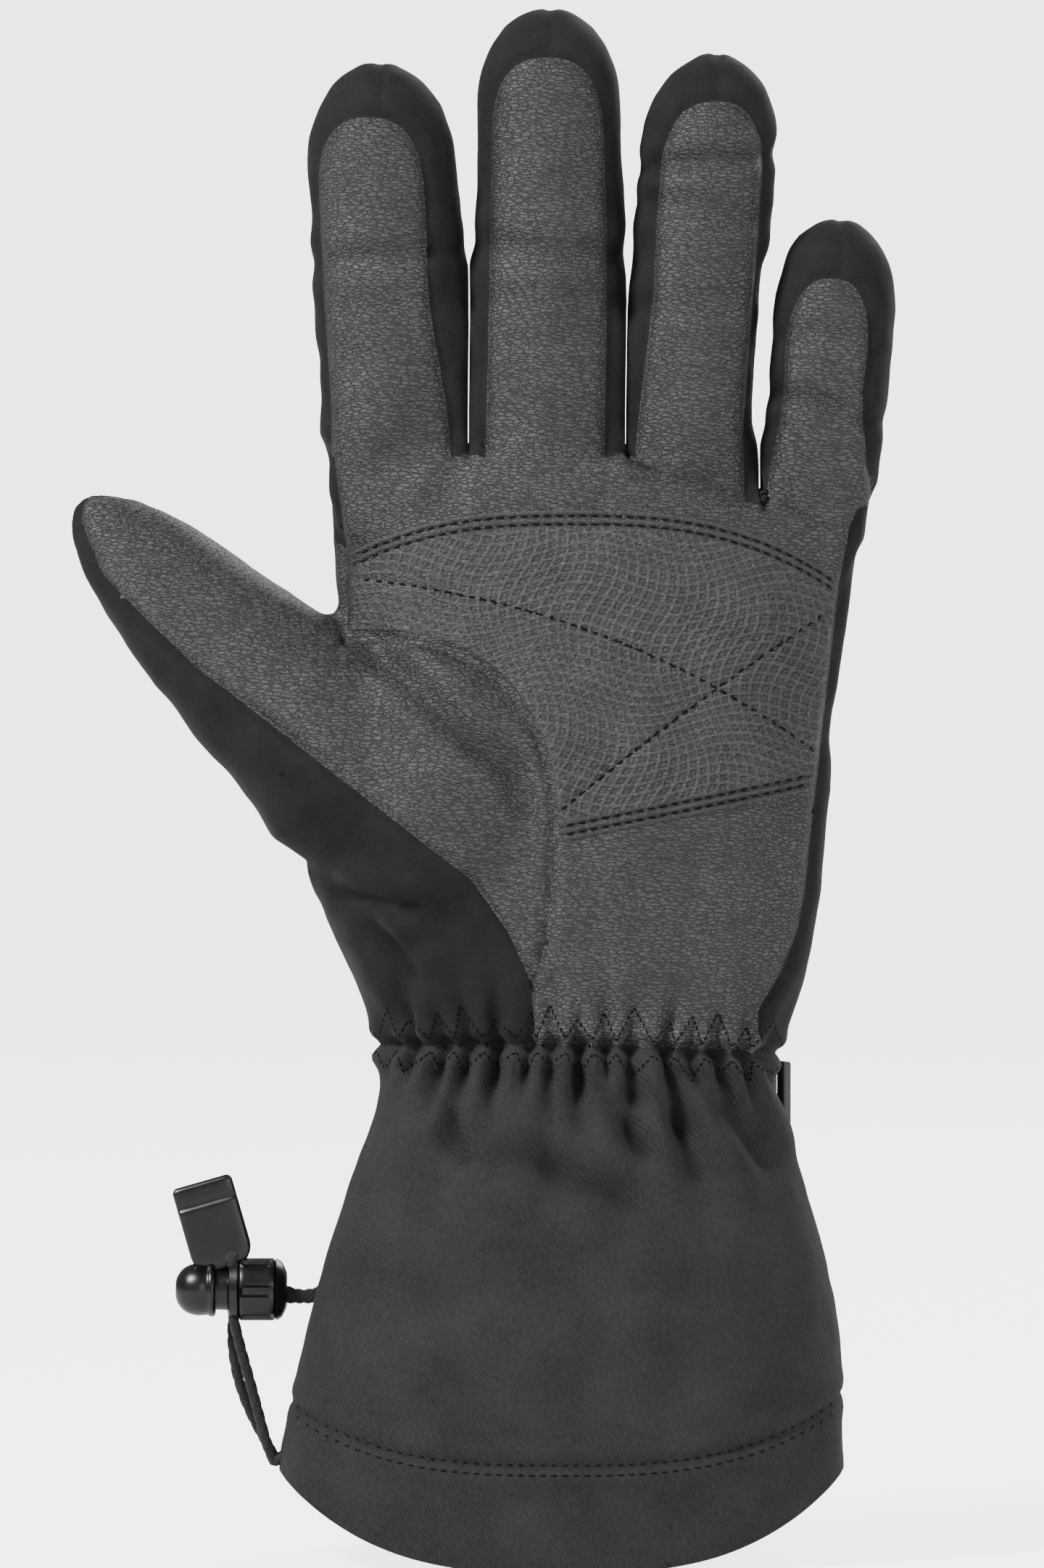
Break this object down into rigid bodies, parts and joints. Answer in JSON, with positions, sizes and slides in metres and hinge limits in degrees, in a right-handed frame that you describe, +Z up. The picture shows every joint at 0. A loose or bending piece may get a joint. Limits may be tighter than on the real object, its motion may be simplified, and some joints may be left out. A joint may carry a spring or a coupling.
{
  "type": "ski glove",
  "caption": "Padded left-hand ski glove with leather palm, grip patch, softshell back, gathered wrist, wrist strap and flared cuff with drawcord and cord lock.",
  "frame": {"origin": "under the middle of the glove's overall width and depth, on the plane the cuff hem rests on", "axes": "+Z up from the cuff to the fingertips, -Y out of the palm, -X towards the thumb"},
  "size_m": [0.1654, 0.0706, 0.312],
  "materials": {
    "leather": "fine pebbled grain, satin",
    "softshell": "tight matt weave",
    "twill": "fine diagonal twill",
    "lining": "brushed",
    "membrane": "thin film",
    "insulation": "fibre wadding",
    "hardware": "satin moulded",
    "buckle_plastic": "moulded",
    "cord": "braided",
    "spring_steel": "drawn wire"
  },
  "bodies": {
    "cuff": {"cuff_front_panel": "twill", "cuff_back_panel": "twill", "cuff_lining": "lining", "hem_band": "twill", "hem_facing": "lining", "wrist_elastic": "lining", "wrist_strap": "cord", "drawcord": "cord"},
    "hand": {"palm_leather": "leather", "back_shell": "softshell", "waterproof_membrane": "membrane", "hand_insulation": "insulation", "hand_lining": "lining", "grip_patch": "leather", "thenar_leather": "leather", "fork_index_middle": "softshell", "fork_middle_ring": "softshell", "fork_ring_little": "softshell", "thumb_palm_root": "leather", "thumb_back_root": "softshell", "thumb_liner_root": "insulation"},
    "index_base": {"index_palm_lower": "leather", "index_back_lower": "softshell", "index_liner_lower": "insulation"},
    "index_end": {"index_palm_upper": "leather", "index_back_upper": "softshell", "index_liner_upper": "insulation"},
    "middle_base": {"middle_palm_lower": "leather", "middle_back_lower": "softshell", "middle_liner_lower": "insulation"},
    "middle_end": {"middle_palm_upper": "leather", "middle_back_upper": "softshell", "middle_liner_upper": "insulation"},
    "ring_base": {"ring_palm_lower": "leather", "ring_back_lower": "softshell", "ring_liner_lower": "insulation"},
    "ring_end": {"ring_palm_upper": "leather", "ring_back_upper": "softshell", "ring_liner_upper": "insulation"},
    "little_base": {"little_palm_lower": "leather", "little_back_lower": "softshell", "little_liner_lower": "insulation"},
    "little_end": {"little_palm_upper": "leather", "little_back_upper": "softshell", "little_liner_upper": "insulation"},
    "thumb_base": {"thumb_palm_lower": "leather", "thumb_back_lower": "softshell", "thumb_liner_lower": "insulation"},
    "thumb_end": {"thumb_palm_upper": "leather", "thumb_back_upper": "softshell", "thumb_liner_upper": "insulation"},
    "cord_lock": {"lock_body": "hardware", "lock_spring": "spring_steel", "lock_tether": "cord"},
    "button": {"lock_button": "hardware"},
    "tab": {"pull_tab": "hardware", "tail_cord_front": "cord", "tail_cord_back": "cord"},
    "buckle": {"buckle_frame": "buckle_plastic"}
  },
  "joints": [
    {"name": "wrist_bend", "type": "hinge", "parent": "cuff", "child": "hand", "pos_m": [0.01859, 0, 0.103], "axis": [1, 0, 0], "range_deg": [-20, 20], "stiffness_Nm_per_rad": 1.2},
    {"name": "index_knuckle", "type": "hinge", "parent": "hand", "child": "index_base", "pos_m": [-0.01871, 0.002, 0.2225], "axis": [1, 0, 0], "range_deg": [0, 40], "stiffness_Nm_per_rad": 0.12},
    {"name": "index_bend", "type": "hinge", "parent": "index_base", "child": "index_end", "pos_m": [-0.01981, 0.002, 0.257], "axis": [1, 0, 0], "range_deg": [0, 45], "stiffness_Nm_per_rad": 0.06},
    {"name": "middle_knuckle", "type": "hinge", "parent": "hand", "child": "middle_base", "pos_m": [0.01209, 0.002, 0.2225], "axis": [1, 0, 0], "range_deg": [0, 40], "stiffness_Nm_per_rad": 0.12},
    {"name": "middle_bend", "type": "hinge", "parent": "middle_base", "child": "middle_end", "pos_m": [0.01289, 0.002, 0.26], "axis": [1, 0, 0], "range_deg": [0, 45], "stiffness_Nm_per_rad": 0.06},
    {"name": "ring_knuckle", "type": "hinge", "parent": "hand", "child": "ring_base", "pos_m": [0.04129, 0.002, 0.2175], "axis": [1, 0, 0], "range_deg": [0, 40], "stiffness_Nm_per_rad": 0.12},
    {"name": "ring_bend", "type": "hinge", "parent": "ring_base", "child": "ring_end", "pos_m": [0.04299, 0.002, 0.258], "axis": [1, 0, 0], "range_deg": [0, 45], "stiffness_Nm_per_rad": 0.06},
    {"name": "little_knuckle", "type": "hinge", "parent": "hand", "child": "little_base", "pos_m": [0.06639, 0.002, 0.2125], "axis": [1, 0, 0], "range_deg": [0, 40], "stiffness_Nm_per_rad": 0.12},
    {"name": "little_bend", "type": "hinge", "parent": "little_base", "child": "little_end", "pos_m": [0.06859, 0.002, 0.235], "axis": [1, 0, 0], "range_deg": [0, 45], "stiffness_Nm_per_rad": 0.06},
    {"name": "thumb_swing", "type": "hinge", "parent": "hand", "child": "thumb_base", "pos_m": [-0.04311, -0.004, 0.1751], "axis": [0.6909, 0, 0.7229], "range_deg": [0, 30], "stiffness_Nm_per_rad": 0.12},
    {"name": "thumb_bend", "type": "hinge", "parent": "thumb_base", "child": "thumb_end", "pos_m": [-0.06046, -0.004, 0.19168], "axis": [0.6909, 0, 0.7229], "range_deg": [0, 35], "stiffness_Nm_per_rad": 0.06},
    {"name": "lock_swing", "type": "hinge", "parent": "cuff", "child": "cord_lock", "pos_m": [-0.03311, 0, 0.0526], "axis": [0, 0, 1], "range_deg": [-25, 25], "stiffness_Nm_per_rad": 0.02},
    {"name": "button_press", "type": "slide", "parent": "cord_lock", "child": "button", "axis": [1, 0, 0], "range_m": [0, 0.0022], "stiffness_N_per_m": 400},
    {"name": "tab_pull", "type": "slide", "parent": "cord_lock", "child": "tab", "axis": [0, 0, 1], "range_m": [0, 0.008], "stiffness_N_per_m": 60},
    {"name": "buckle_tilt", "type": "hinge", "parent": "cuff", "child": "buckle", "pos_m": [0.05411, 0.01977, 0.0925], "axis": [0, 0, 1], "range_deg": [0, 25], "stiffness_Nm_per_rad": 0.02}
  ]
}
